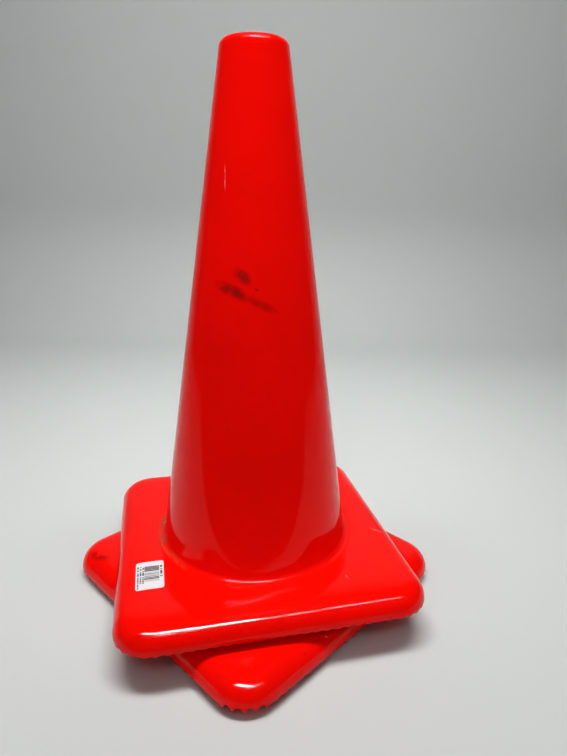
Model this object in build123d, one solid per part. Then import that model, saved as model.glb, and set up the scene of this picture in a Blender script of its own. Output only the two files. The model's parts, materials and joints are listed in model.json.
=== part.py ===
from build123d import *

import os
from math import atan, cos, pi, radians, sin, sqrt

# Two soft PVC marker cones, one nested over the other and turned on it, with a paper label. They are
# alike but for the rim of the lower base, which is cut deeper round its corners.
# Millimetres and degrees. +Z is up, and the origin is on the ground at the middle of the lower base,
# whose sides lie along X and Y.

# One cone as a whole
CONE_HEIGHT = 457.0         # foot of the rim to the top of the cone
BASE_SIDE = 272.0           # across the flats of the square base
BASE_CORNER_RADIUS = 32.6   # corners of the base, seen from above
BASE_HEIGHT = 20.4          # foot of the rim to the top of the base

# Sleeve, with its radii measured on the outside of the wall, as if no edge were rounded
FOOT_RADIUS = 90.7          # where the wall meets the top of the base
TOP_RADIUS = 27.2           # where the wall meets the top of the cone
SLEEVE_WALL = 3.6           # square to the wall
TOP_EDGE_RADIUS = 6.5       # rounding of the top edge, outside
TOP_HOLE_RADIUS = 17.0      # hole in the top
FOOT_FILLET = 5.0           # hollow rounding between the wall and the foot ring
FOOT_RING_WIDTH = 1.5       # flat of the foot ring outside that rounding
FLANGE_WIDTH = 5.0          # flange that holds the sleeve under the base's inner edge

# Base
BASE_WALL = 6.0             # thickness of the base's shell
LEDGE_THICKNESS = 3.0       # inner edge of the base, over the sleeve's flange
FLAT_CORNER_RADIUS = 2.6    # corners of the flat middle, inside the crowned border
CROWN_SLOPE = 7.0           # slope where the crowned border runs into the rounded edge
RIM_LAND = 1.2              # upright strip at the foot of the rounded edge
TOOTH_PITCH = 9.25          # wanted spacing of the teeth along the rim
TOOTH_WIDTH = 2.4           # width of each tooth at its tip
NOTCH_HEIGHT = 1.3          # height of the arched notches between the teeth
LOWER_CORNER_NOTCH = 3.6    # the same round the corners of the lower base
RIB_COUNT = 8               # stiffening ribs under the base
RIB_THICKNESS = 4.0
RIB_LIFT = 1.0              # foot of the rim to the lower edge of the ribs
RIB_SETBACK = 1.0           # from the sleeve's flange to the inner end of a rib
STAND_HEIGHT = 8.0          # ground to the foot of the rim, which four feet hold clear of it
STAND_LENGTH = 26.0         # length of each foot along the base's diagonal
STAND_WIDTH = 12.0
STAND_INSET = 4.0           # from the inside of the corner to the outer end of a foot

# Label on the upper base, placed in that base's own axes
LABEL_WIDTH = 24.4          # along the base's X
LABEL_LENGTH = 38.0         # along the base's Y
LABEL_CORNER_RADIUS = 2.5
LABEL_THICKNESS = 0.2
LABEL_X = -105.0
LABEL_Y = -61.0

# Nesting
NEST_CLEARANCE = 0.3        # between the two sleeves, square to the wall
SEAT_CLEARANCE = 0.5        # least height of the upper rim over the lower base
UPPER_TURN = -32.4          # turn of the upper cone about Z

CUT_MARGIN = 2.0            # how far cutting shapes run past what they cut

# Sleeve sizes that follow
TAPER = (FOOT_RADIUS - TOP_RADIUS) / (CONE_HEIGHT - BASE_HEIGHT)
HALF_ANGLE = atan(TAPER)
FILLET_REACH = FOOT_FILLET * (1 - sin(HALF_ANGLE)) / cos(HALF_ANGLE)
SEAM_RADIUS = FOOT_RADIUS + FILLET_REACH + FOOT_RING_WIDTH
FLANGE_RADIUS = SEAM_RADIUS + FLANGE_WIDTH
SHELF_HEIGHT = BASE_HEIGHT - BASE_WALL

# Base sizes that follow: the border falls from the flat middle in one arc, which leads into the edge's
BORDER_WIDTH = BASE_CORNER_RADIUS - FLAT_CORNER_RADIUS
SLOPE_SIN = sin(radians(CROWN_SLOPE))
SLOPE_COS = cos(radians(CROWN_SLOPE))
CROWN_FALL = (1 - SLOPE_COS) / SLOPE_SIN
EDGE_RADIUS = (BASE_HEIGHT - RIM_LAND - BORDER_WIDTH * CROWN_FALL) / (
    SLOPE_COS - (1 - SLOPE_SIN) * CROWN_FALL
)
CROWN_RADIUS = (BORDER_WIDTH - EDGE_RADIUS * (1 - SLOPE_SIN)) / SLOPE_SIN
FLAT_SIDE = BASE_SIDE - 2 * BORDER_WIDTH
STAND_REACH = (BASE_SIDE / 2 - BASE_CORNER_RADIUS) * sqrt(2) + BASE_CORNER_RADIUS - BASE_WALL - STAND_INSET
CORNER_CENTRE = BASE_SIDE / 2 - BASE_CORNER_RADIUS
QUARTER_RIM = 2 * CORNER_CENTRE + BASE_CORNER_RADIUS * pi / 2
QUARTER_TEETH = round(QUARTER_RIM / TOOTH_PITCH)
NOTCH_PITCH = QUARTER_RIM / QUARTER_TEETH
NOTCH_REACH = (NOTCH_PITCH - TOOTH_WIDTH) / 2

# The upper cone comes down until the sleeves or the bases meet
STACK_PITCH = max(
    (SLEEVE_WALL + NEST_CLEARANCE) / sin(HALF_ANGLE),
    BASE_HEIGHT + SEAT_CLEARANCE,
)


def outer_radius(height):
    """Outer radius of the sleeve's wall at a height above the rim's foot."""
    return FOOT_RADIUS - TAPER * (height - BASE_HEIGHT)


def inner_radius(height):
    """Inner radius of the sleeve's wall at a height above the rim's foot."""
    return outer_radius(height) - SLEEVE_WALL / cos(HALF_ANGLE)


def sleeve():
    """Tapered tube with a turned-in top, and a foot that flares into a ring with a flange under it."""
    lip_height = CONE_HEIGHT - SLEEVE_WALL
    flange_top = BASE_HEIGHT - LEDGE_THICKNESS
    corners = [
        ((inner_radius(SHELF_HEIGHT), SHELF_HEIGHT), 0),
        ((FLANGE_RADIUS, SHELF_HEIGHT), 0),
        ((FLANGE_RADIUS, flange_top), 0),
        ((SEAM_RADIUS, flange_top), 0),
        ((SEAM_RADIUS, BASE_HEIGHT), 0),
        ((FOOT_RADIUS, BASE_HEIGHT), FOOT_FILLET),
        ((TOP_RADIUS, CONE_HEIGHT), TOP_EDGE_RADIUS),
        ((TOP_HOLE_RADIUS, CONE_HEIGHT), 0),
        ((TOP_HOLE_RADIUS, lip_height), 0),
        ((inner_radius(lip_height), lip_height), max(TOP_EDGE_RADIUS - SLEEVE_WALL, 0)),
    ]
    points = [point for point, rounding in corners]
    roundings = [rounding for point, rounding in corners]
    outline = FilletPolyline(*points, radius=roundings, close=True)
    return revolve(Plane.XZ * make_face(outline), Axis.Z)


def crowned_block(growth):
    """Solid block with the base's outer form, its whole surface but the underside moved out by growth."""
    edge = EDGE_RADIUS + growth
    crown = CROWN_RADIUS + growth
    reach = BORDER_WIDTH + growth
    top = BASE_HEIGHT + growth
    wall_foot = (reach, 0)
    wall_top = (reach, RIM_LAND)
    edge_middle = (
        reach - edge * (1 - cos(radians(90 - CROWN_SLOPE) / 2)),
        RIM_LAND + edge * sin(radians(90 - CROWN_SLOPE) / 2),
    )
    edge_top = (crown * SLOPE_SIN, RIM_LAND + edge * SLOPE_COS)
    crown_middle = (
        crown * sin(radians(CROWN_SLOPE) / 2),
        top - crown * (1 - cos(radians(CROWN_SLOPE) / 2)),
    )
    flat_edge = (0, top)
    outline = Curve() + [
        Polyline(flat_edge, (0, 0), wall_foot, wall_top),
        ThreePointArc(wall_top, edge_middle, edge_top),
        ThreePointArc(edge_top, crown_middle, flat_edge),
    ]
    flat = RectangleRounded(FLAT_SIDE, FLAT_SIDE, FLAT_CORNER_RADIUS)
    path = flat.wire()
    start = path % 0
    section = Plane(path @ 0, x_dir=start.cross(Vector(0, 0, 1)), z_dir=-start) * make_face(outline)
    return extrude(flat, top) + sweep(section, path=path)


def rim_plane(distance):
    """Plane on the rim's foot, at a distance along it from the middle of the +X side.

    Its X runs along the rim, its Y is up and its Z points out of the base.
    """
    turn = min(max(distance - CORNER_CENTRE, 0) / BASE_CORNER_RADIUS, pi / 2)
    outwards = Vector(cos(turn), sin(turn), 0)
    along = Vector(-sin(turn), cos(turn), 0)
    corner = Vector(CORNER_CENTRE, CORNER_CENTRE, 0)
    past_corner = distance - CORNER_CENTRE - turn * BASE_CORNER_RADIUS
    origin = corner + outwards * BASE_CORNER_RADIUS + along * past_corner
    return Plane(origin, x_dir=along, z_dir=outwards)


def notch(height):
    """Cutter with an arched outline in XY, which runs through the base's shell along Z."""
    shoulder = max(height - NOTCH_REACH, 0)
    right = (NOTCH_REACH, shoulder)
    left = (-NOTCH_REACH, shoulder)
    outline = Curve() + [
        Polyline(right, (NOTCH_REACH, -CUT_MARGIN), (-NOTCH_REACH, -CUT_MARGIN), left),
        ThreePointArc(left, (0, height), right),
    ]
    arch = make_face(outline)
    return extrude(arch, CUT_MARGIN) + extrude(arch, -(BASE_WALL + CUT_MARGIN))


def rim_notches(corner_height):
    """Arched notches all round the foot of the rim, with a height of their own at the corners."""
    side_end = CORNER_CENTRE + NOTCH_PITCH / 2
    first_quarter = []
    for tooth in range(QUARTER_TEETH):
        middle = (tooth + 0.5) * NOTCH_PITCH
        in_corner = side_end < middle < QUARTER_RIM - side_end
        cutter = notch(corner_height if in_corner else NOTCH_HEIGHT)
        first_quarter.append(rim_plane(middle).location * cutter)
    return [Rot(0, 0, 90 * quarter) * one for quarter in range(4) for one in first_quarter]


def feet(top):
    """Four blocks inside the base's corners, from the ground to a height above the rim's foot."""
    foot = Pos(STAND_REACH, 0, -STAND_HEIGHT) * Box(
        STAND_LENGTH, STAND_WIDTH, STAND_HEIGHT + top, align=(Align.MAX, Align.CENTER, Align.MIN)
    )
    return [Rot(0, 0, 45 + 90 * corner) * foot for corner in range(4)]


def base(corner_notch_height):
    """Square shell with a stepped round hole for the sleeve's foot, ribs, four feet and a toothed rim."""
    rib = Pos(FLANGE_RADIUS + RIB_SETBACK, 0, RIB_LIFT) * Box(
        BASE_SIDE, RIB_THICKNESS, BASE_HEIGHT, align=(Align.MIN, Align.CENTER, Align.MIN)
    )
    ribs = [Rot(0, 0, 360 * step / RIB_COUNT) * rib for step in range(RIB_COUNT)]
    hollow = crowned_block(-BASE_WALL) - ribs - feet(BASE_HEIGHT)
    seam_hole = Cylinder(SEAM_RADIUS, 2 * (BASE_HEIGHT + CUT_MARGIN))
    flange_seat = Cylinder(FLANGE_RADIUS, 2 * (BASE_HEIGHT - LEDGE_THICKNESS))
    shell = crowned_block(0) - hollow - seam_hole - flange_seat - rim_notches(corner_notch_height)
    return shell + feet(RIM_LAND)


def label():
    """Thin sheet that follows the crowned top of the base."""
    outline = Pos(LABEL_X, LABEL_Y) * RectangleRounded(LABEL_WIDTH, LABEL_LENGTH, LABEL_CORNER_RADIUS)
    column = extrude(outline, BASE_HEIGHT + CUT_MARGIN)
    return (column & crowned_block(LABEL_THICKNESS)) - crowned_block(0)


cone_sleeve = sleeve()
standing = Location((0, 0, STAND_HEIGHT))
nested = Location((0, 0, STAND_HEIGHT + STACK_PITCH), (0, 0, UPPER_TURN))
parts = {
    "lower_sleeve": standing * cone_sleeve,
    "lower_base": standing * base(LOWER_CORNER_NOTCH),
    "upper_sleeve": nested * cone_sleeve,
    "upper_base": nested * base(NOTCH_HEIGHT),
    "product_label": nested * label(),
}

os.makedirs("parts", exist_ok=True)
for name, part in parts.items():
    export_step(part, f"parts/{name}.step")
print(f"stack pitch {STACK_PITCH:.2f} mm, {4 * QUARTER_TEETH} teeth a base, edge radius {EDGE_RADIUS:.2f} mm")
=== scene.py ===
import json
from math import atan, cos, pi, radians, sin, sqrt

import bpy
from bpy.props import FloatProperty, FloatVectorProperty, IntProperty, PointerProperty
from bpy.types import Operator, Panel, PropertyGroup
from mathutils import Euler, Matrix, Vector


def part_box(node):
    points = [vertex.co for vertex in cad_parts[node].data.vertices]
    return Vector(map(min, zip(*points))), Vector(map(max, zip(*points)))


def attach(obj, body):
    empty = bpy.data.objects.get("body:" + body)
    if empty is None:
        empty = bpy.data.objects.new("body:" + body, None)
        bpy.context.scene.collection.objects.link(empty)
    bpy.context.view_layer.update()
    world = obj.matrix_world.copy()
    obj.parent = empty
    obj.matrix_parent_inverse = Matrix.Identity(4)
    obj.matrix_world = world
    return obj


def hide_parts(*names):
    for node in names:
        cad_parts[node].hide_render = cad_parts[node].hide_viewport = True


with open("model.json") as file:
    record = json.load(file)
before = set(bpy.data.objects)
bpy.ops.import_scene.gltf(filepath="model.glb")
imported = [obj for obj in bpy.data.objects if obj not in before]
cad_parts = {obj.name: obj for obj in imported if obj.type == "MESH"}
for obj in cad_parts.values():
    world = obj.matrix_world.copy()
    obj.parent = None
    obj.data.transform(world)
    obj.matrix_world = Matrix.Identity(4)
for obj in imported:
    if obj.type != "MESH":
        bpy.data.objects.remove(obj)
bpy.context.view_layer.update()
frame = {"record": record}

bl_info = {
    "name": "Nested marker cones",
    "version": (1, 0, 0),
    "blender": (4, 5, 0),
    "location": "3D View > Sidebar > Marker cones",
    "description": "Two nested PVC marker cones with toothed bases and a paper label, on a pale stage",
    "category": "Object",
}

MM = 0.001

# Sizes that the packed part gives: its box, its nodes' boxes and the hole in the top
SLEEVE_LOW, SLEEVE_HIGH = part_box("lower_sleeve")
BASE_LOW, BASE_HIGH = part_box("lower_base")
STACK_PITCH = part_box("upper_base")[0].z - BASE_LOW.z
RIM_FOOT = 8.0 * MM         # ground to the foot of the lower rim, which four feet hold clear of it
TOP_HOLE = next(mount for mount in frame["record"]["mounts"] if mount["name"] == "top_hole")


def linear(hex_code):
    """Linear colour of an sRGB hex value."""
    channels = [int(hex_code[start:start + 2], 16) / 255 for start in (1, 3, 5)]
    return [c / 12.92 if c <= 0.04045 else ((c + 0.055) / 1.055) ** 2.4 for c in channels]


def length(name, description, millimetres):
    """Settings of a property that holds a length."""
    return {
        "name": name,
        "description": description,
        "default": millimetres * MM,
        "precision": 4,
        "subtype": "DISTANCE",
        "unit": "LENGTH",
    }


def rotation(name, description, degrees):
    """Settings of a property that holds an angle."""
    return {
        "name": name,
        "description": description,
        "default": radians(degrees),
        "subtype": "ANGLE",
        "unit": "ROTATION",
    }


def colour(name, description, hex_code):
    """Settings of a property that holds a colour."""
    return {
        "name": name,
        "description": description,
        "default": linear(hex_code),
        "subtype": "COLOR",
        "min": 0,
        "max": 1,
    }


def wattage(name, description, watts):
    """Settings of a property that holds a lamp's power."""
    return {"name": name, "description": description, "default": watts, "min": 0, "unit": "POWER"}


class SleeveSizes(PropertyGroup):
    """Sizes of the tapered sleeve, the same for both cones."""

    height: FloatProperty(**length("Height", "Foot of the rim to the top", (SLEEVE_HIGH.z - RIM_FOOT) / MM))
    shelf: FloatProperty(**length("Shelf", "Foot of the rim to the flange", (SLEEVE_LOW.z - RIM_FOOT) / MM))
    flange_radius: FloatProperty(**length("Flange radius", "Flange that the base holds", SLEEVE_HIGH.x / MM))
    flange_width: FloatProperty(**length("Flange width", "From the seam to the flange's rim", 5.0))
    foot_radius: FloatProperty(**length("Foot radius", "Outside of the wall where it meets the base", 90.7))
    top_radius: FloatProperty(**length("Top radius", "Outside of the wall where it meets the top", 27.2))
    wall: FloatProperty(**length("Wall", "Thickness square to the wall", 3.6))
    top_edge: FloatProperty(**length("Top edge", "Rounding of the top's outer edge", 6.5))
    top_hole: FloatProperty(**length("Top hole", "Radius of the hole in the top", TOP_HOLE["dims"]["r_mm"]))
    foot_fillet: FloatProperty(**length("Foot fillet", "Hollow rounding between wall and foot ring", 5.0))
    soft_edge: FloatProperty(**length("Soft edge", "Rounding of the moulded edges", 0.3))


class BaseSizes(PropertyGroup):
    """Sizes of the square base, the same for both cones but for the lower one's corner notches."""

    side: FloatProperty(**length("Side", "Across the flats", (BASE_HIGH.x - BASE_LOW.x) / MM))
    height: FloatProperty(**length("Height", "Foot of the rim to the flat", (BASE_HIGH.z - RIM_FOOT) / MM))
    corner_radius: FloatProperty(**length("Corner radius", "Corners seen from above", 32.6))
    flat_corner: FloatProperty(**length("Flat's corner radius", "Corners of the flat middle", 2.6))
    wall: FloatProperty(**length("Wall", "Thickness of the shell", 6.0))
    ledge: FloatProperty(**length("Ledge", "Thickness of the inner edge over the flange", 3.0))
    land: FloatProperty(**length("Land", "Upright strip at the foot of the rounded edge", 1.2))
    crown_slope: FloatProperty(
        **rotation("Crown slope", "Slope where the crowned border runs into the rounded edge", 7)
    )
    teeth: IntProperty(
        name="Teeth", description="Teeth round the rim, a multiple of four", default=112, min=4
    )
    tooth_width: FloatProperty(**length("Tooth width", "Width of a tooth at its tip", 2.3))
    notch: FloatProperty(**length("Notch height", "Height of the arches between the teeth", 1.3))
    lower_corner_notch: FloatProperty(
        **length("Lower corner notch", "Height of the arches round the lower base's corners", 3.6)
    )
    ribs: IntProperty(name="Ribs", description="Stiffening ribs under the base", default=8, min=0)
    rib_width: FloatProperty(**length("Rib width", "Thickness of each rib", 4.0))
    rib_lift: FloatProperty(**length("Rib lift", "Foot of the rim to the lower edge of the ribs", 1.0))
    foot_length: FloatProperty(**length("Foot length", "Each foot along the base's diagonal", 26.0))
    foot_width: FloatProperty(**length("Foot width", "Each foot across that", 12.0))
    foot_inset: FloatProperty(**length("Foot inset", "From the inside of the corner to the foot", 4.0))
    soft_edge: FloatProperty(**length("Soft edge", "Rounding of the moulded edges", 0.45))
    turn: FloatProperty(**rotation("Upper turn", "Turn of the upper cone about the upright axis", -32.4))


class LabelSizes(PropertyGroup):
    """Sizes of the paper label, and its place in the upper base's own axes."""

    width: FloatProperty(**length("Width", "Across the label", 24.4))
    height: FloatProperty(**length("Length", "Along the label", 38.0))
    corner: FloatProperty(**length("Corner radius", "Rounded corners", 2.5))
    thickness: FloatProperty(**length("Thickness", "Paper and glue", 0.2))
    x: FloatProperty(**length("X", "Middle of the label, along the upper base", -105.0))
    y: FloatProperty(**length("Y", "Middle of the label, across the upper base", -61.0))


class Finishes(PropertyGroup):
    """Colours of the cones, the label and the stage."""

    pvc: FloatVectorProperty(**colour("PVC", "Red-orange of both cones", "#FA0802"))
    pvc_worn: FloatVectorProperty(**colour("Worn PVC", "The same where it has dulled", "#E60903"))
    scuff: FloatVectorProperty(**colour("Scuff", "Rubbed-in black", "#560805"))
    dust: FloatVectorProperty(**colour("Dust", "Grey-brown dust in the crease", "#7A4A34"))
    # Pale pink of whitened nicks; it also paints a highlight, a thin upright glint of lamp light on the upper
    # sleeve
    chalk_and_highlight: FloatVectorProperty(**colour("Chalk", "Whitened nicks", "#E8A69C"))
    paper: FloatVectorProperty(**colour("Paper", "Coated white label", "#DDDEE1"))
    paper_soiled: FloatVectorProperty(**colour("Soiled paper", "The same where it is handled", "#C6C3BF"))
    ink: FloatVectorProperty(**colour("Ink", "Plain printed bars", "#2B2D33"))
    stage: FloatVectorProperty(**colour("Stage", "Floor and backdrop", "#C8CCCA"))


class StageSettings(PropertyGroup):
    """Camera and lamps."""

    camera_place: FloatVectorProperty(
        name="Camera place",
        description="Where the camera stands",
        default=(-0.3356, -0.3685, 0.3767),
        subtype="TRANSLATION",
        unit="LENGTH",
    )
    camera_turn: FloatVectorProperty(
        name="Camera turn",
        description="Tilt up from straight down, roll about the line of sight, turn about the upright axis",
        default=(radians(71.86), radians(0.89), radians(-45.43)),
        subtype="EULER",
        unit="ROTATION",
    )
    lens: FloatProperty(
        name="Lens", description="Focal length on a 36 mm long side", default=26.58, unit="CAMERA"
    )
    key_power: FloatProperty(**wattage("Key lamp", "Power of the soft lamp overhead", 28))
    fill_power: FloatProperty(**wattage("Fill lamp", "Power of the beam on the camera's side", 0.98))
    low_power: FloatProperty(**wattage("Low lamp", "Power of the beam on the rims", 0.06))
    strip_power: FloatProperty(**wattage("Front strip", "Power of the strip that shows in the gloss", 620))
    side_power: FloatProperty(**wattage("Side strip", "Power of the fainter strip beside it", 100))
    room: FloatProperty(name="Room", description="Level of the room's even light", default=0.03, min=0, max=1)


# Lamps: name, height that it points at in metres, height angle and turn from the camera's side in degrees,
# distance, width and depth in metres, spread in degrees, power setting, whether it lights surfaces and
# whether it shows in the gloss
LAMPS = (
    ("key_lamp", 0.0, 87, 0, 1.7, 1.2, 0.3, 180, "key_power", True, False),
    ("fill_lamp", 0.47, 43, 0, 1.2, 0.9, 0.4, 38, "fill_power", True, False),
    ("low_lamp", 0.01, 6, 0, 1.3, 0.8, 0.1, 24, "low_power", True, False),
    ("front_strip", 0.0, 66, -9, 4.0, 2.4, 0.08, 180, "strip_power", False, True),
    ("side_strip", 0.0, 58, 36, 4.0, 2.6, 0.08, 180, "side_power", False, True),
)

# Stage, in metres: width, reach of the floor before and behind the cones, and height and bend of the backdrop
STAGE_WIDTH = 4.0
STAGE_FRONT = 0.30
STAGE_BACK = 1.25
BACKDROP_HEIGHT = 1.8
BACKDROP_BEND = 0.35

# Mesh: distance at which points are joined, angles from which edges are rounded and shaded sharp, and the
# number of strips round a sleeve and along the label
WELD = 0.01 * MM
ROUNDED_FROM = radians(38)
SHARP_FROM = radians(35)
SLEEVE_STRIPS = 160
LABEL_STRIPS = 14


# Modelling


def start_piece(name, primitive, **settings):
    """Adds a primitive with nothing else selected, and goes into edit mode on it."""
    bpy.ops.object.select_all(action="DESELECT")
    primitive(**settings)
    piece = bpy.context.active_object
    piece.name = name
    piece.data.name = name
    bpy.ops.object.mode_set(mode="EDIT")
    return piece


def pen_down(name, place):
    """Starts a piece as one vertex, from which lines and arcs are drawn."""
    piece = start_piece(name, bpy.ops.mesh.primitive_plane_add, size=MM)
    bpy.ops.mesh.merge(type="CENTER")
    bpy.ops.transform.translate(value=place)
    return piece


def draw_line(step):
    """Draws on from the selected vertices in a straight line."""
    bpy.ops.mesh.extrude_region_move(TRANSFORM_OT_translate={"value": step})


def draw_arc(centre, axis, angle, steps):
    """Draws on from the selected vertex in an arc."""
    bpy.ops.mesh.spin(steps=steps, angle=angle, center=centre, axis=axis)


def select_edges(piece, test):
    """Selects the edges of a piece in edit mode whose two ends pass a test."""
    bpy.ops.mesh.select_mode(type="EDGE")
    bpy.ops.mesh.select_all(action="DESELECT")
    bpy.ops.object.mode_set(mode="OBJECT")
    points = [vertex.co for vertex in piece.data.vertices]
    for edge in piece.data.edges:
        edge.select = all(test(points[end]) for end in edge.vertices)
    bpy.ops.object.mode_set(mode="EDIT")


def finish_modifier(piece, kind, **settings):
    """Adds a modifier to a piece and applies it."""
    modifier = piece.modifiers.new(kind.title(), kind)
    for key, value in settings.items():
        setattr(modifier, key, value)
    bpy.ops.object.modifier_apply(modifier=modifier.name)


def soften(piece, width):
    """Rounds a moulded piece's sharp edges and shades it smooth."""
    bpy.ops.object.mode_set(mode="OBJECT")
    finish_modifier(piece, "BEVEL", width=width, segments=2, limit_method="ANGLE", angle_limit=ROUNDED_FROM)
    bpy.ops.object.shade_smooth_by_angle(angle=SHARP_FROM)


def place_on_stack(piece, lift, turn):
    """Lifts a finished piece to its place in the stack and turns it."""
    piece.location.z = lift
    piece.rotation_euler.z = turn
    bpy.ops.object.transform_apply(location=True, rotation=True, scale=True)


def dress(piece, node, body, material):
    """Gives a finished piece its material, hides the CAD node that it stands in for and attaches it to its
    body.
    """
    piece.data.materials.clear()
    piece.data.materials.append(material)
    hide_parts(node)
    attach(piece, body)


def model_sleeve(name, sizes, ground):
    """Draws the sleeve's section and spins it: flange, foot ring, wall and turned-in top."""
    half_angle = atan((sizes.foot_radius - sizes.top_radius) / (sizes.height - ground.height))
    lean = (1 - sin(half_angle)) / cos(half_angle)
    quarter = pi / 2 - half_angle
    seam = sizes.flange_radius - sizes.flange_width
    fillet = sizes.foot_fillet
    fillet_middle = Vector((sizes.foot_radius + fillet * lean, 0, ground.height + fillet))
    top_middle = Vector((sizes.top_radius - sizes.top_edge * lean, 0, sizes.height - sizes.top_edge))
    outwards = Vector((cos(half_angle), 0, sin(half_angle)))
    foot = fillet_middle - outwards * fillet
    shoulder = top_middle + outwards * sizes.top_edge
    inner_shoulder = top_middle + outwards * (sizes.top_edge - sizes.wall)
    down_wall = foot - shoulder
    inner_foot = inner_shoulder + down_wall * ((inner_shoulder.z - sizes.shelf) / -down_wall.z)
    axis = (0, 1, 0)

    piece = pen_down(name, inner_foot)
    draw_line((sizes.flange_radius - inner_foot.x, 0, 0))
    draw_line((0, 0, ground.height - ground.ledge - sizes.shelf))
    draw_line((-sizes.flange_width, 0, 0))
    draw_line((0, 0, ground.ledge))
    draw_line((fillet_middle.x - seam, 0, 0))
    draw_arc(fillet_middle, axis, -quarter, 12)
    draw_line(shoulder - foot)
    draw_arc(top_middle, axis, quarter, 14)
    draw_line((sizes.top_hole - top_middle.x, 0, 0))
    draw_line((0, 0, -sizes.wall))
    draw_line((top_middle.x - sizes.top_hole, 0, 0))
    draw_arc(top_middle, axis, -quarter, 8)
    draw_line(inner_foot - inner_shoulder)
    bpy.ops.mesh.select_all(action="SELECT")
    bpy.ops.mesh.remove_doubles(threshold=WELD)
    bpy.ops.mesh.spin(steps=SLEEVE_STRIPS, angle=2 * pi, center=(0, 0, 0), axis=(0, 0, 1))
    bpy.ops.mesh.select_all(action="SELECT")
    bpy.ops.mesh.remove_doubles(threshold=WELD)
    bpy.ops.mesh.normals_make_consistent(inside=False)
    soften(piece, sizes.soft_edge)
    return piece


COLUMNS = 8                 # strips of mesh along one tooth and notch
NOTCH_BLEND = 8.0 * MM      # height up to which the wall's mesh follows the notches
RIM_WELD = 0.04 * MM        # distance at which the rim's two ends are joined
LEVEL_SLACK = 0.004 * MM    # how far off a level an edge may lie and still count as on it
RIB_SETBACK = 1.0 * MM      # between the sleeve's flange and the ribs
RIB_OVERLAP = 0.2 * MM      # by which ribs and feet run into the shell above them


def edge_arcs(sizes):
    """Radii of the rounded edge and of the crowned border, which meet at the crown's slope."""
    border = sizes.corner_radius - sizes.flat_corner
    rise, run = sin(sizes.crown_slope), cos(sizes.crown_slope)
    fall = (1 - run) / rise
    edge = (sizes.height - sizes.land - border * fall) / (run - (1 - rise) * fall)
    return edge, (border - edge * (1 - rise)) / rise


def rim_path(sizes):
    """Curve along the foot of the rim, anticlockwise from the middle of the +X side."""
    half = sizes.side / 2
    straight = half - sizes.corner_radius
    handle = sizes.corner_radius * 4 / 3 * (sqrt(2) - 1)
    curve = bpy.data.curves.new("rim_path", "CURVE")
    curve.dimensions = "2D"
    curve.resolution_u = 64
    spline = curve.splines.new("BEZIER")
    spline.bezier_points.add(9)
    ends = [Vector((half, 0, 0))]
    ways = [Vector((0, 1, 0))]
    for quarter in range(4):
        turn = Matrix.Rotation(quarter * pi / 2, 3, "Z")
        ends += [turn @ Vector((half, straight, 0)), turn @ Vector((straight, half, 0))]
        ways += [turn @ Vector((0, 1, 0)), turn @ Vector((-1, 0, 0))]
    ends.append(ends[0])
    ways.append(ways[0])
    for point, end, way in zip(spline.bezier_points, ends, ways):
        point.co = end
        point.handle_left = end - way * handle
        point.handle_right = end + way * handle
    path = bpy.data.objects.new("rim_path", curve)
    bpy.context.collection.objects.link(path)
    return path


def cut_notches(piece, sizes, pitch, corner_notch):
    """Raises the foot of the straight strip of rim into arches, one between each two teeth."""
    edge, _ = edge_arcs(sizes)
    reach = (pitch - sizes.tooth_width) / 2
    straight = sizes.side / 2 - sizes.corner_radius
    quarter = sizes.teeth // 4 * pitch
    for vertex in piece.data.vertices:
        along, inwards, height = vertex.co
        if height > NOTCH_BLEND:
            continue
        notch = min(int(along / pitch), sizes.teeth - 1)
        middle = (notch + 0.5) * pitch
        in_corner = straight + pitch / 2 < middle % quarter < quarter - straight - pitch / 2
        top = corner_notch if in_corner else sizes.notch
        off_middle = abs(along - middle)
        if off_middle < reach * 0.99:
            shoulder = max(top - reach, 0)
            radius = (reach**2 + (top - shoulder) ** 2) / (2 * (top - shoulder))
            arch = top - radius + sqrt(radius**2 - off_middle**2)
            height = arch + height * (1 - arch / NOTCH_BLEND)
        depth = 0 if inwards < sizes.wall / 2 else sizes.wall
        climb = max(height - sizes.land, 0)
        vertex.co.y = edge - sqrt((edge - depth) ** 2 - climb**2)
        vertex.co.z = height


def add_block(angle, start, end, width, low, high):
    """Adds a block to the piece in edit mode, along a line from the middle outwards."""
    middle = Matrix.Rotation(angle, 3, "Z") @ Vector(((start + end) / 2, 0, (low + high) / 2))
    bpy.ops.mesh.primitive_cube_add(
        size=1, location=middle, rotation=(0, 0, angle), scale=(end - start, width, high - low)
    )


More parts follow.
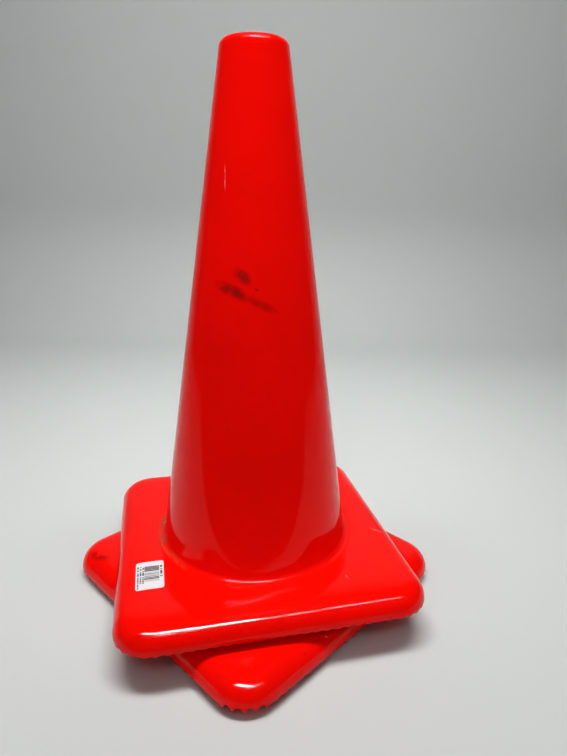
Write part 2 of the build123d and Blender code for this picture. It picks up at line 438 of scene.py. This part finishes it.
def model_base(name, sizes, sleeve, corner_notch):
    """Draws the border's section, repeats it for each tooth, bends it round and closes the middle."""
    border = sizes.corner_radius - sizes.flat_corner
    edge, crown = edge_arcs(sizes)
    straight = sizes.side / 2 - sizes.corner_radius
    pitch = (8 * straight + 2 * pi * sizes.corner_radius) / sizes.teeth
    crown_middle = (0, border, sizes.height - crown)
    edge_middle = (0, edge, sizes.land)
    axis = (-1, 0, 0)
    bend = pi / 2 - sizes.crown_slope

    piece = pen_down(name, (0, border, sizes.height - sizes.wall))
    draw_arc(crown_middle, axis, sizes.crown_slope, 3)
    draw_arc(edge_middle, axis, bend, 12)
    draw_line((0, 0, -sizes.land))
    draw_line((0, -sizes.wall, 0))
    draw_line((0, 0, sizes.land))
    draw_arc(edge_middle, axis, -bend, 20)
    draw_arc(crown_middle, axis, -sizes.crown_slope, 6)
    bpy.ops.mesh.select_all(action="SELECT")
    for _ in range(COLUMNS):
        draw_line((pitch / COLUMNS, 0, 0))
    bpy.ops.object.mode_set(mode="OBJECT")
    finish_modifier(
        piece,
        "ARRAY",
        count=sizes.teeth,
        use_relative_offset=False,
        use_constant_offset=True,
        constant_offset_displace=(pitch, 0, 0),
        use_merge_vertices=True,
        merge_threshold=WELD,
    )
    cut_notches(piece, sizes, pitch, corner_notch)
    path = rim_path(sizes)
    finish_modifier(piece, "CURVE", object=path, deform_axis="POS_X")
    bpy.data.objects.remove(path)

    bpy.ops.object.mode_set(mode="EDIT")
    bpy.ops.mesh.select_all(action="SELECT")
    bpy.ops.mesh.remove_doubles(threshold=RIM_WELD)
    bpy.ops.mesh.select_all(action="DESELECT")
    seam = sleeve.flange_radius - sleeve.flange_width
    bpy.ops.mesh.primitive_circle_add(
        vertices=sizes.teeth * COLUMNS // 2, radius=seam, location=(0, 0, sizes.height)
    )
    draw_line((0, 0, -sizes.ledge))
    draw_line((0, 0, 0))
    widen = sleeve.flange_radius / seam
    bpy.ops.transform.resize(value=(widen, widen, 1), center_override=(0, 0, 0))
    draw_line((0, 0, sizes.ledge - sizes.wall))
    for level in (sizes.height, sizes.height - sizes.wall):
        select_edges(piece, lambda point: abs(point.z - level) < LEVEL_SLACK)
        bpy.ops.mesh.bridge_edge_loops()
    bpy.ops.mesh.select_mode(type="VERT")
    bpy.ops.mesh.select_all(action="SELECT")
    bpy.ops.mesh.normals_make_consistent(inside=False)

    top = sizes.height - sizes.wall + RIB_OVERLAP
    corner = straight * sqrt(2) + sizes.corner_radius - sizes.wall
    for rib in range(sizes.ribs):
        angle = 2 * pi * rib / sizes.ribs
        across = max(abs(cos(angle)), abs(sin(angle)))
        reach = min((straight + border - sizes.wall) / across, straight * sqrt(2) + border - sizes.wall)
        start = sleeve.flange_radius + RIB_SETBACK
        add_block(angle, start, reach, sizes.rib_width, sizes.rib_lift, top)
    reach = corner - sizes.foot_inset
    for quarter in range(4):
        angle = pi / 4 + quarter * pi / 2
        add_block(angle, reach - sizes.foot_length, reach, sizes.foot_width, -RIM_FOOT, top)
    soften(piece, sizes.soft_edge)
    return piece


class MARKER_OT_sleeves(Operator):
    """Model one tapered sleeve and nest a copy of it over it"""

    bl_idname = "marker_cone.sleeves"
    bl_label = "Sleeves"

    def execute(self, context):
        scene = context.scene
        lower = model_sleeve("sleeve_lower", scene.sleeve_sizes, scene.base_sizes)
        place_on_stack(lower, RIM_FOOT, 0)
        bpy.ops.object.duplicate(linked=False)
        upper = context.active_object
        upper.name = "sleeve_upper"
        upper.data.name = "sleeve_upper"
        place_on_stack(upper, STACK_PITCH, scene.base_sizes.turn)
        clean = moulded_pvc("sleeve_pvc_clean", (), SLEEVE_SPECKS)
        dress(lower, "lower_sleeve", "lower_cone", clean)
        # Its marks include a painted highlight, a thin upright glint of lamp light
        scuffed = moulded_pvc("sleeve_pvc_scuffed", SLEEVE_MARKS, SLEEVE_SPECKS)
        dress(upper, "upper_sleeve", "upper_cone", scuffed)
        return {"FINISHED"}


class MARKER_OT_bases(Operator):
    """Model both toothed bases"""

    bl_idname = "marker_cone.bases"
    bl_label = "Bases"

    def execute(self, context):
        scene = context.scene
        sizes = scene.base_sizes
        lower = model_base("base_lower", sizes, scene.sleeve_sizes, sizes.lower_corner_notch)
        place_on_stack(lower, RIM_FOOT, 0)
        pvc = moulded_pvc("base_pvc_lower", LOWER_BASE_MARKS, BASE_SPECKS)
        dress(lower, "lower_base", "lower_cone", pvc)
        upper = model_base("base_upper", sizes, scene.sleeve_sizes, sizes.notch)
        place_on_stack(upper, RIM_FOOT + STACK_PITCH, sizes.turn)
        pvc = moulded_pvc("base_pvc_upper", UPPER_BASE_MARKS, BASE_SPECKS)
        dress(upper, "upper_base", "upper_cone", pvc)
        return {"FINISHED"}


class MARKER_OT_label(Operator):
    """Cut the paper label and lay it on the crowned top of the upper base"""

    bl_idname = "marker_cone.label"
    bl_label = "Label"

    def execute(self, context):
        sizes = context.scene.label_sizes
        base = context.scene.base_sizes
        piece = start_piece("label_sheet", bpy.ops.mesh.primitive_plane_add, size=1)
        bpy.ops.transform.resize(value=(sizes.width, sizes.height, 1))
        bpy.ops.mesh.bevel(offset=sizes.corner, segments=6, affect="VERTICES")
        for step in range(1 - LABEL_STRIPS // 2, LABEL_STRIPS // 2):
            for across, normal in ((sizes.width, (1, 0, 0)), (sizes.height, (0, 1, 0))):
                bpy.ops.mesh.select_all(action="SELECT")
                bpy.ops.mesh.bisect(
                    plane_co=Vector(normal) * (across * step / LABEL_STRIPS), plane_no=normal
                )
        bpy.ops.object.mode_set(mode="OBJECT")
        flat = RIM_FOOT + STACK_PITCH + base.height
        middle = Matrix.Rotation(base.turn, 3, "Z") @ Vector((sizes.x, sizes.y, flat))
        clear_of_base = Vector((0, 0, 5 * MM))
        piece.location = middle + clear_of_base
        piece.rotation_euler.z = base.turn
        bpy.ops.object.transform_apply(location=True, rotation=True, scale=True)
        finish_modifier(
            piece,
            "SHRINKWRAP",
            target=bpy.data.objects["base_upper"],
            wrap_method="PROJECT",
            use_project_z=True,
            use_positive_direction=False,
            use_negative_direction=True,
        )
        finish_modifier(piece, "SOLIDIFY", thickness=sizes.thickness, offset=1)
        bpy.ops.object.shade_smooth_by_angle(angle=SHARP_FROM)
        paper = printed_paper("label_paper_print", middle, base.turn)
        dress(piece, "product_label", "upper_cone", paper)
        return {"FINISHED"}


# Finishes


def add(tree, kind, links, **settings):
    """Adds a node, sets it up, and links or sets its inputs."""
    node = tree.nodes.new(kind)
    for key, value in settings.items():
        setattr(node, key, value)
    for key, value in links.items():
        if isinstance(value, bpy.types.NodeSocket):
            tree.links.new(value, node.inputs[key])
        else:
            node.inputs[key].default_value = value
    return node


def fresh_material(name):
    """Empty node material with a principled shader, and that shader."""
    material = bpy.data.materials.new(name)
    material.use_nodes = True
    tree = material.node_tree
    tree.nodes.clear()
    shader = add(tree, "ShaderNodeBsdfPrincipled", {})
    add(tree, "ShaderNodeOutputMaterial", {"Surface": shader.outputs["BSDF"]})
    return material, tree, shader


# Specks of dirt: spacing in mm, the random value from which they are full size, and their radius then as a
# share of the spacing
SLEEVE_SPECKS = (7.0, 1.0, 0.07)
BASE_SPECKS = (3.5, 0.85, 0.15)
SPECK_STRENGTH = 0.45
MARK_DULLNESS = 0.35        # roughness that a full mark adds
PRINT_STRENGTH = 0.95       # of the label's dashes
DASH_SHARE = 0.45           # noise level above which a dash is printed

# Marks on the cones: two ends in mm, with heights from the foot of the lower rim, half sizes across and
# upright in mm, finish, strength and grain in mm
CREASE_DIRT = (
    ((-50.0, 82.0, 48.0), (-75.5, 56.9, 48.0), 4.5, 5.0, "dust", 0.8, 7.0),
    ((-75.5, 56.9, 48.0), (-89.9, 29.2, 48.0), 4.5, 5.0, "dust", 0.8, 7.0),
    ((-89.9, 29.2, 48.0), (-93.6, -13.2, 48.0), 3.5, 4.0, "dust", 0.5, 6.0),
)
SLEEVE_MARKS = CREASE_DIRT + (
    ((-43.5, -29.0, 310.0), (-40.2, -35.2, 303.6), 8.0, 6.0, "scuff", 0.65, 9.0),
    ((-52.0, -14.6, 299.9), (-41.5, -36.6, 290.4), 8.0, 6.0, "scuff", 0.75, 10.0),
    ((-41.5, -36.6, 290.4), (-23.9, -51.8, 279.0), 8.0, 4.4, "scuff", 0.42, 9.0),
    ((-35.6, -41.0, 297.2), (-34.8, -42.0, 296.2), 2.5, 1.4, "scuff", 0.5, 3.0),
    # Painted highlight: a thin upright glint of lamp light high on the sleeve, not a nick
    ((-39.5, -9.5, 391.7), (-42.1, -12.0, 370.3), 0.6, 0.6, "chalk_and_highlight", 0.6, 3.0),
)
UPPER_BASE_MARKS = CREASE_DIRT + (
    ((79.6, -86.6, 47.0), (84.8, -99.0, 47.0), 1.1, 5.0, "chalk_and_highlight", 0.7, 2.5),
    ((4.2, -114.8, 47.0), (0.3, -122.4, 46.5), 0.6, 5.0, "chalk_and_highlight", 0.5, 2.5),
    ((-141.0, -27.0, 46.0), (-141.8, -27.6, 46.0), 0.9, 5.0, "scuff", 0.8, 2.0),
    ((-144.9, -42.0, 45.0), (-145.2, -43.6, 45.0), 0.8, 5.0, "scuff", 0.7, 2.0),
)
LOWER_BASE_MARKS = (
    ((-125.3, 109.1, 16.0), (-118.5, 88.8, 17.0), 6.5, 8.0, "scuff", 0.7, 6.0),
    ((-37.8, -129.0, 15.0), (-36.6, -130.6, 14.0), 0.9, 6.0, "chalk_and_highlight", 0.7, 1.5),
    ((-25.4, -139.0, 12.0), (-26.4, -137.0, 12.0), 0.9, 8.0, "chalk_and_highlight", 0.6, 1.5),
)


def moulded_pvc(name, marks, specking):
    """Moulded flexible PVC, pigmented right through.

    Its skin is glossy with a faint ripple from the mould. Handling has dulled it in patches, and it carries
    small specks of dirt, black rubs, dust in the crease at the sleeve's foot and a few whitened nicks. The
    upper sleeve also carries a painted highlight: a thin upright glint of lamp light in the nicks' pale
    colour.
    """
    colours = bpy.context.scene.finishes
    material, tree, shader = fresh_material(name)
    place = add(tree, "ShaderNodeTexCoord", {}).outputs["Object"]

    drift = add(tree, "ShaderNodeTexNoise", {"Vector": place, "Scale": 1 / (80 * MM), "Detail": 3.0})
    fade = add(
        tree,
        "ShaderNodeMapRange",
        {"Value": drift.outputs["Fac"], "From Min": 0.42, "From Max": 0.7, "To Max": 0.5},
    )
    tone = add(
        tree,
        "ShaderNodeMix",
        {0: fade.outputs["Result"], 6: (*colours.pvc, 1), 7: (*colours.pvc_worn, 1)},
        data_type="RGBA",
    )
    spacing, full_from, radius = specking
    specks = add(tree, "ShaderNodeTexVoronoi", {"Vector": place, "Scale": 1 / (spacing * MM)})
    chosen = add(
        tree,
        "ShaderNodeMapRange",
        {"Value": specks.outputs["Color"], "From Min": 0.6, "From Max": full_from, "To Max": radius},
    )
    dot = add(
        tree,
        "ShaderNodeMath",
        {0: specks.outputs["Distance"], 1: chosen.outputs["Result"]},
        operation="LESS_THAN",
    )
    faint = add(tree, "ShaderNodeMath", {0: dot.outputs["Value"], 1: SPECK_STRENGTH}, operation="MULTIPLY")
    tone = add(
        tree,
        "ShaderNodeMix",
        {0: faint.outputs["Value"], 6: tone.outputs[2], 7: (*colours.scuff, 1)},
        data_type="RGBA",
    )
    smear = add(tree, "ShaderNodeTexNoise", {"Vector": place, "Scale": 1 / (40 * MM), "Detail": 5.0})
    dullness = add(
        tree,
        "ShaderNodeMapRange",
        {"Value": smear.outputs["Fac"], "From Min": 0.4, "From Max": 0.75, "To Min": 0.04, "To Max": 0.09},
    ).outputs["Result"]

    for start, end, across, upright, finish, strength, grain in marks:
        line = Vector(end) - Vector(start)
        reach = line.length / 2 + min(across, upright)
        spot = add(
            tree,
            "ShaderNodeMapping",
            {
                "Vector": place,
                "Location": (Vector(start) + Vector(end)) / 2 * MM + Vector((0, 0, RIM_FOOT)),
                "Rotation": line.to_track_quat("X", "Z").to_euler(),
                "Scale": Vector((reach, across, upright)) * MM,
            },
            vector_type="TEXTURE",
        )
        off = add(tree, "ShaderNodeVectorMath", {0: spot.outputs["Vector"]}, operation="LENGTH")
        edge = add(
            tree,
            "ShaderNodeMapRange",
            {"Value": off.outputs["Value"], "From Min": 0.35, "To Min": strength, "To Max": 0.0},
        )
        grit = add(tree, "ShaderNodeTexNoise", {"Vector": place, "Scale": 1 / (grain * MM), "Detail": 3.0})
        broken = add(
            tree, "ShaderNodeMapRange", {"Value": grit.outputs["Fac"], "From Min": 0.36, "From Max": 0.58}
        )
        mask = add(
            tree,
            "ShaderNodeMath",
            {0: edge.outputs["Result"], 1: broken.outputs["Result"]},
            operation="MULTIPLY",
        )
        tone = add(
            tree,
            "ShaderNodeMix",
            {0: mask.outputs["Value"], 6: tone.outputs[2], 7: (*getattr(colours, finish), 1)},
            data_type="RGBA",
        )
        dullness = add(
            tree,
            "ShaderNodeMath",
            {0: mask.outputs["Value"], 1: MARK_DULLNESS, 2: dullness},
            operation="MULTIPLY_ADD",
        ).outputs["Value"]

    ripple = add(tree, "ShaderNodeTexNoise", {"Vector": place, "Scale": 1 / (12 * MM), "Detail": 3.0})
    bump = add(
        tree, "ShaderNodeBump", {"Height": ripple.outputs["Fac"], "Strength": 0.2, "Distance": 0.15 * MM}
    )
    tree.links.new(tone.outputs[2], shader.inputs["Base Color"])
    tree.links.new(dullness, shader.inputs["Roughness"])
    tree.links.new(bump.outputs["Normal"], shader.inputs["Normal"])
    shader.inputs["IOR"].default_value = 1.53
    shader.inputs["Specular IOR Level"].default_value = 0.12
    return material


# Plain print on the label, in mm from its middle: middle and half size across and along, and strength
PRINTED_BARS = (
    (1.7, 6.5, 11.4, 0.8, 0.95),
    (1.7, 6.5, 9.6, 0.7, 0.95),
    (1.7, 6.5, 7.9, 0.75, 0.95),
    (1.7, 6.5, 6.0, 0.8, 0.95),
    (1.7, 6.5, 3.4, 0.35, 0.6),
    (1.7, 6.5, 1.6, 0.5, 0.85),
    (1.7, 6.5, 0.2, 0.3, 0.7),
    (1.7, 6.5, -1.6, 0.5, 0.85),
    (1.7, 6.5, -3.7, 0.7, 0.9),
    (1.7, 6.5, -5.5, 0.7, 0.95),
    (1.7, 6.5, -7.4, 0.4, 0.5),
    (1.7, 6.5, -8.8, 0.3, 0.4),
)
# Columns of short dashes: middle and half size across and along, and dash length
DASH_COLUMNS = (
    (-10.3, 0.7, -2.0, 15.0, 1.7),
    (-8.0, 0.7, 1.0, 12.0, 2.0),
    (-5.8, 0.7, 0.5, 11.5, 2.2),
    (9.9, 0.9, 5.0, 9.0, 2.4),
)


def printed_paper(name, middle, turn):
    """Coated label paper, nearly white and a little glossy, with plain bars and dashes in grey-black ink."""
    colours = bpy.context.scene.finishes
    material, tree, shader = fresh_material(name)
    place = add(tree, "ShaderNodeTexCoord", {}).outputs["Object"]
    sheet = add(
        tree,
        "ShaderNodeMapping",
        {"Vector": place, "Location": middle, "Rotation": (0, 0, turn), "Scale": (MM, MM, MM)},
        vector_type="TEXTURE",
    )
    axes = add(tree, "ShaderNodeSeparateXYZ", {"Vector": sheet.outputs["Vector"]})
    x, y = axes.outputs["X"], axes.outputs["Y"]
    print_mask = None
    rows = [(*bar, None) for bar in PRINTED_BARS]
    rows += [(*place_and_size, PRINT_STRENGTH, dash) for *place_and_size, dash in DASH_COLUMNS]
    for x_middle, x_half, y_middle, y_half, strength, dash in rows:
        inside_x = add(tree, "ShaderNodeMath", {0: x, 1: x_middle, 2: x_half}, operation="COMPARE")
        inside_y = add(tree, "ShaderNodeMath", {0: y, 1: y_middle, 2: y_half}, operation="COMPARE")
        mark = add(
            tree,
            "ShaderNodeMath",
            {0: inside_x.outputs["Value"], 1: inside_y.outputs["Value"]},
            operation="MULTIPLY",
        )
        if dash:
            beat = add(
                tree, "ShaderNodeTexNoise", {"W": y, "Scale": 1 / dash, "Detail": 0.0}, noise_dimensions="1D"
            )
            on = add(
                tree, "ShaderNodeMath", {0: beat.outputs["Fac"], 1: DASH_SHARE}, operation="GREATER_THAN"
            )
            mark = add(
                tree,
                "ShaderNodeMath",
                {0: mark.outputs["Value"], 1: on.outputs["Value"]},
                operation="MULTIPLY",
            )
        inked = add(tree, "ShaderNodeMath", {0: mark.outputs["Value"], 1: strength}, operation="MULTIPLY")
        if print_mask is None:
            print_mask = inked
        else:
            print_mask = add(
                tree,
                "ShaderNodeMath",
                {0: print_mask.outputs["Value"], 1: inked.outputs["Value"]},
                operation="MAXIMUM",
            )
    grubby = add(
        tree, "ShaderNodeTexNoise", {"Vector": sheet.outputs["Vector"], "Scale": 1 / 9, "Detail": 4.0}
    )
    soiling = add(
        tree,
        "ShaderNodeMapRange",
        {"Value": grubby.outputs["Fac"], "From Min": 0.45, "From Max": 0.8, "To Max": 0.25},
    )
    tone = add(
        tree,
        "ShaderNodeMix",
        {0: soiling.outputs["Result"], 6: (*colours.paper, 1), 7: (*colours.paper_soiled, 1)},
        data_type="RGBA",
    )
    tone = add(
        tree,
        "ShaderNodeMix",
        {0: print_mask.outputs["Value"], 6: tone.outputs[2], 7: (*colours.ink, 1)},
        data_type="RGBA",
    )
    bump = add(
        tree, "ShaderNodeBump", {"Height": grubby.outputs["Fac"], "Strength": 0.2, "Distance": 0.2 * MM}
    )
    tree.links.new(tone.outputs[2], shader.inputs["Base Color"])
    tree.links.new(bump.outputs["Normal"], shader.inputs["Normal"])
    shader.inputs["Roughness"].default_value = 0.4
    shader.inputs["Specular IOR Level"].default_value = 0.4
    return material


def painted_floor(name):
    """Painted board, pale and matt."""
    colours = bpy.context.scene.finishes
    material, tree, shader = fresh_material(name)
    shader.inputs["Base Color"].default_value = (*colours.stage, 1)
    shader.inputs["Roughness"].default_value = 0.7
    shader.inputs["Specular IOR Level"].default_value = 0.2
    return material


class MARKER_OT_stage(Operator):
    """Set the floor, backdrop, lamps and camera"""

    bl_idname = "marker_cone.stage"
    bl_label = "Stage"

    def execute(self, context):
        scene = context.scene
        sizes = scene.stage_settings
        tilt, roll, heading = sizes.camera_turn

        piece = start_piece("stage_floor", bpy.ops.mesh.primitive_plane_add, size=1)
        bpy.ops.transform.resize(value=(STAGE_WIDTH, STAGE_FRONT + STAGE_BACK, 1))
        bpy.ops.transform.translate(value=(0, (STAGE_BACK - STAGE_FRONT) / 2, 0))
        select_edges(piece, lambda point: point.y > 0)
        draw_line((0, 0, BACKDROP_HEIGHT))
        select_edges(piece, lambda point: point.y > 0 and point.z < BACKDROP_HEIGHT / 2)
        bpy.ops.mesh.bevel(offset=BACKDROP_BEND, segments=16, affect="EDGES")
        bpy.ops.object.mode_set(mode="OBJECT")
        piece.rotation_euler.z = heading
        bpy.ops.object.transform_apply(location=True, rotation=True, scale=True)
        bpy.ops.object.shade_smooth()
        piece.data.materials.append(painted_floor("stage_paint"))

        for name, aim, rise, turn, distance, width, depth, spread, power, lights, shines in LAMPS:
            towards = Euler((0, -radians(rise), heading - pi / 2 + radians(turn)))
            away = towards.to_matrix() @ Vector((1, 0, 0))
            bpy.ops.object.light_add(type="AREA", location=away * distance + Vector((0, 0, aim)))
            lamp = context.active_object
            lamp.name = name
            lamp.rotation_euler = away.to_track_quat("Z", "Y").to_euler()
            lamp.data.shape = "RECTANGLE"
            lamp.data.size = width
            lamp.data.size_y = depth
            lamp.data.spread = radians(spread)
            lamp.data.energy = getattr(sizes, power)
            lamp.visible_camera = False
            lamp.visible_diffuse = lights
            lamp.visible_glossy = shines

        world = bpy.data.worlds.new("room")
        world.use_nodes = True
        background = world.node_tree.nodes["Background"]
        background.inputs["Color"].default_value = (1, 1, 1, 1)
        background.inputs["Strength"].default_value = sizes.room
        scene.world = world
        scene.view_settings.view_transform = "Standard"

        bpy.ops.object.camera_add(location=sizes.camera_place)
        camera = context.active_object
        upright = Euler((tilt, 0, heading)).to_matrix()
        camera.rotation_euler = (upright @ Matrix.Rotation(roll, 3, "Z")).to_euler()
        camera.data.sensor_width = 36
        camera.data.lens = sizes.lens
        camera.data.clip_start = 0.01
        scene.camera = camera
        return {"FINISHED"}


class MARKER_PT_cones(Panel):
    """Sizes, finishes and pieces of the nested cones"""

    bl_idname = "MARKER_PT_cones"
    bl_label = "Marker cones"
    bl_space_type = "VIEW_3D"
    bl_region_type = "UI"
    bl_category = "Marker cones"

    def draw(self, context):
        for operator in OPERATORS:
            self.layout.operator(operator.bl_idname)
        for group in GROUPS:
            box = self.layout.box()
            settings = getattr(context.scene, group)
            box.label(text=GROUPS[group].__doc__)
            for key in GROUPS[group].__annotations__:
                box.prop(settings, key)


OPERATORS = (MARKER_OT_sleeves, MARKER_OT_bases, MARKER_OT_label, MARKER_OT_stage)
GROUPS = {
    "sleeve_sizes": SleeveSizes,
    "base_sizes": BaseSizes,
    "label_sizes": LabelSizes,
    "finishes": Finishes,
    "stage_settings": StageSettings,
}


def register():
    for group in GROUPS:
        bpy.utils.register_class(GROUPS[group])
        setattr(bpy.types.Scene, group, PointerProperty(type=GROUPS[group]))
    for operator in OPERATORS:
        bpy.utils.register_class(operator)
    bpy.utils.register_class(MARKER_PT_cones)


def unregister():
    bpy.utils.unregister_class(MARKER_PT_cones)
    for operator in reversed(OPERATORS):
        bpy.utils.unregister_class(operator)
    for group in reversed(GROUPS):
        delattr(bpy.types.Scene, group)
        bpy.utils.unregister_class(GROUPS[group])


def main():
    register()
    bpy.ops.marker_cone.sleeves()
    bpy.ops.marker_cone.bases()
    bpy.ops.marker_cone.label()
    bpy.ops.marker_cone.stage()


if __name__ == "__main__":
    main()
